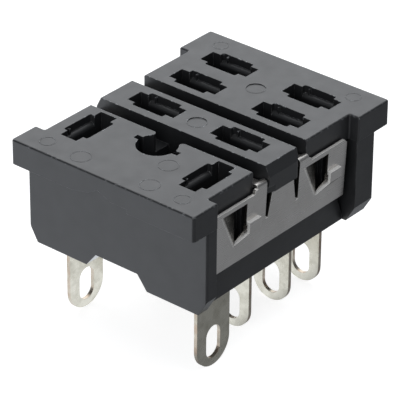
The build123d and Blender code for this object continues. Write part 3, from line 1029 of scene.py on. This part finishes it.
@dataclass
class SideClips:
    """The two spring steel clips that hold the mouldings together and grip the panel.

    Attributes:
        nodes: The frame's solids by name.
        finish: The finish of both clips.
    """

    nodes: dict[str, bpy.types.Object]
    finish: SpringSteelSheet = SpringSteelSheet(
        name="satin_spring_steel",
        tone="#dedbd7",
        dull_tone="#d2cfcb",
        # the pale edge colour, part burnish and part painted highlight
        burnish_and_highlight_tone="#f4f3f1",
        # the colour of the painted shade on what is bent inward
        painted_shade_tone="#504e4a",
    )

    def build(self) -> None:
        """Dresses both clips."""
        material = self.finish.build()
        for name in ("side_clip_1", "side_clip_2"):
            dress(self.nodes[name], material)


@dataclass
class Contacts:
    """The eight stamped terminals and the springs that grip the relay's blades.

    Attributes:
        nodes: The frame's solids by name.
    """

    nodes: dict[str, bpy.types.Object]

    def build(self) -> None:
        """Dresses each terminal by the way its lug faces, and each spring."""
        finishes = {
            "contact_terminal": TinnedCopperStrip("tinned_contact_lug", SheetNormal.ALONG_X),
            "coil_terminal": TinnedCopperStrip("tinned_coil_lug", SheetNormal.ALONG_Y),
            "contact_spring": BronzeStrip("phosphor_bronze_strip"),
        }
        for start, finish in finishes.items():
            material = finish.build()
            for name, node in sorted(self.nodes.items()):
                if name.startswith(start):
                    dress(node, material)


@dataclass(frozen=True)
class SoftBox:
    """One square studio light, aimed at the middle of the socket.

    Attributes:
        name: The light's name.
        azimuth: Its turn round the socket in degrees.
        elevation: Its height above the horizon in degrees.
        distance: Its distance in metres.
        size: The length of its side in metres.
        radiance: How bright its face is, where 1 is white.
    """

    name: str
    azimuth: float
    elevation: float
    distance: float
    size: float
    radiance: float

    def build(self, target: Vector) -> None:
        """Makes the light.

        Args:
            target: The point that the light looks at.
        """
        data = bpy.data.lights.new(self.name, "AREA")
        data.shape = "SQUARE"
        data.size = self.size
        data.energy = self.radiance * math.pi * self.size**2
        light = bpy.data.objects.new(self.name, data)
        turn, lift = math.radians(self.azimuth), math.radians(self.elevation)
        away = Vector(
            (math.sin(turn) * math.cos(lift), -math.cos(turn) * math.cos(lift), math.sin(lift))
        )
        light.location = target + away * self.distance
        light.rotation_mode = "QUATERNION"
        light.rotation_quaternion = (-away).to_track_quat("-Z", "Y")
        bpy.context.scene.collection.objects.link(light)


@dataclass
class Studio:
    """The light table, the room, the soft lights and the camera at the photograph's angle.

    Attributes:
        azimuth: The camera's turn round the socket in degrees.
        elevation: Its height above the horizon in degrees.
        roll: Its turn about its own axis in degrees.
        distance_mm: Its distance from the middle of the cover's top, along its axis.
        right_mm: How far its axis passes to the right of that point.
        up_mm: How far its axis passes above that point.
        focal_mm: The focal length on a sensor of sensor_mm.
        sensor_mm: The width of the camera's sensor.
        clip: The nearest and farthest distance that the camera sees, in metres.
        floor_size: The length of the table's side in metres.
        ambient: The strength of the room's even light.
        table_way: The direction from the dim side of the table to its lit side.
        wall_way: The direction of the bright wall.
        wall_span: How far a ray has to go that way for the wall to start and to shine in full.
        dim_wall: How bright the rest of the room looks in a mirror.
        bright_wall: How bright the bright wall looks in a mirror.
        room_tone: The colour of the room's light.
        soft_boxes: The studio lights.
    """

    azimuth: float = -50.44
    elevation: float = 30.52
    roll: float = 0.47
    distance_mm: float = 276.63
    right_mm: float = -0.259
    up_mm: float = -7.748
    focal_mm: float = 260.6
    sensor_mm: float = 36.0
    clip: Span = (0.01, 50.0)
    floor_size: float = 4.0
    ambient: float = 0.3
    table_way: Point = (0.0, 1.0, 0.0)
    wall_way: Point = (0.7, 0.7, 0.0)
    wall_span: Span = (0.2, 0.7)
    dim_wall: float = 0.12
    bright_wall: float = 0.88
    room_tone: str = "#f3f8ff"
    soft_boxes: tuple[SoftBox, ...] = (
        SoftBox(
            "rear_soft_box",
            azimuth=135.0,
            elevation=38.0,
            distance=0.6,
            size=0.7,
            radiance=1.0,
        ),
        SoftBox(
            "top_soft_box",
            azimuth=20.0,
            elevation=80.0,
            distance=0.7,
            size=0.6,
            radiance=1.4,
        ),
        SoftBox(
            "front_left_soft_box",
            azimuth=-75.0,
            elevation=22.0,
            distance=0.7,
            size=0.5,
            radiance=2.2,
        ),
    )

    def build_camera(self) -> None:
        """Makes the camera that stands where the photograph was taken from."""
        turn, lift, roll = (math.radians(v) for v in (self.azimuth, self.elevation, self.roll))
        back = Vector(
            (math.sin(turn) * math.cos(lift), -math.cos(turn) * math.cos(lift), math.sin(lift))
        )
        level_right = Vector((0, 0, 1)).cross(back).normalized()
        level_up = back.cross(level_right)
        right = math.cos(roll) * level_right + math.sin(roll) * level_up
        up = -math.sin(roll) * level_right + math.cos(roll) * level_up
        data = bpy.data.cameras.new("camera")
        data.sensor_width = self.sensor_mm
        data.lens = self.focal_mm
        data.clip_start, data.clip_end = self.clip
        camera = bpy.data.objects.new("camera", data)
        top = Vector((0, 0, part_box("cover")[1].z))
        offset = right * self.right_mm + up * self.up_mm + back * self.distance_mm
        place = Matrix((right, up, back)).transposed().to_4x4()
        place.translation = top + offset * MM
        camera.matrix_world = place
        bpy.context.scene.collection.objects.link(camera)
        bpy.context.scene.camera = camera

    def build_floor(self) -> None:
        """Lays the table top that the socket's lugs stand on."""
        half = self.floor_size / 2
        mesh = bpy.data.meshes.new("floor")
        corners = [(-half, -half, 0), (half, -half, 0), (half, half, 0), (-half, half, 0)]
        mesh.from_pydata(corners, [], [(0, 1, 2, 3)])
        mesh.materials.append(LightTable(self.table_way).build())
        floor = bpy.data.objects.new("floor", mesh)
        bpy.context.scene.collection.objects.link(floor)
        floor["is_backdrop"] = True

    def build_world(self) -> None:
        """Lights the room evenly, with one bright wall for mirrors and white for the camera."""
        world = bpy.data.worlds.new("studio")
        bpy.context.scene.world = world
        world.use_nodes = True
        tree = world.node_tree
        tree.nodes.clear()
        place = add_node(tree, "ShaderNodeTexCoord")
        way = add_node(
            tree,
            "ShaderNodeVectorMath",
            {"operation": "DOT_PRODUCT", 1: self.wall_way},
            {0: place.outputs["Generated"]},
        )
        limits = dict(enumerate((*self.wall_span, self.dim_wall, self.bright_wall), start=1))
        wall = add_node(tree, "ShaderNodeMapRange", limits, {0: way.outputs["Value"]})
        path = add_node(tree, "ShaderNodeLightPath")
        mirror_ray = add_node(
            tree,
            "ShaderNodeMath",
            {"operation": "ADD", "use_clamp": True},
            {0: path.outputs["Is Glossy Ray"], 1: path.outputs["Is Transmission Ray"]},
        )
        mirrored = add_node(tree, "ShaderNodeMix", {2: self.ambient}, {0: mirror_ray, 3: wall})
        shown = add_node(
            tree, "ShaderNodeMix", {3: 1.0}, {0: path.outputs["Is Camera Ray"], 2: mirrored}
        )
        back = add_node(
            tree,
            "ShaderNodeBackground",
            {"Color": linear(self.room_tone)},
            {"Strength": shown},
        )
        add_node(tree, "ShaderNodeOutputWorld", None, {"Surface": back})

    def build(self) -> None:
        """Builds the floor, the lights and the camera."""
        self.build_camera()
        self.build_floor()
        self.build_world()
        low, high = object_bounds()
        for box in self.soft_boxes:
            box.build((low + high) / 2)
        bpy.context.scene.view_settings.view_transform = "Standard"
        LOG.info("studio ready with %d soft boxes", len(self.soft_boxes))


def main() -> None:
    """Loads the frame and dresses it."""
    logging.basicConfig(level=logging.INFO, format="%(name)s: %(message)s")
    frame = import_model()
    nodes = frame["nodes"]
    Housing(nodes).build()
    SideClips(nodes).build()
    Contacts(nodes).build()
    Studio().build()


if __name__ == "__main__":
    main()
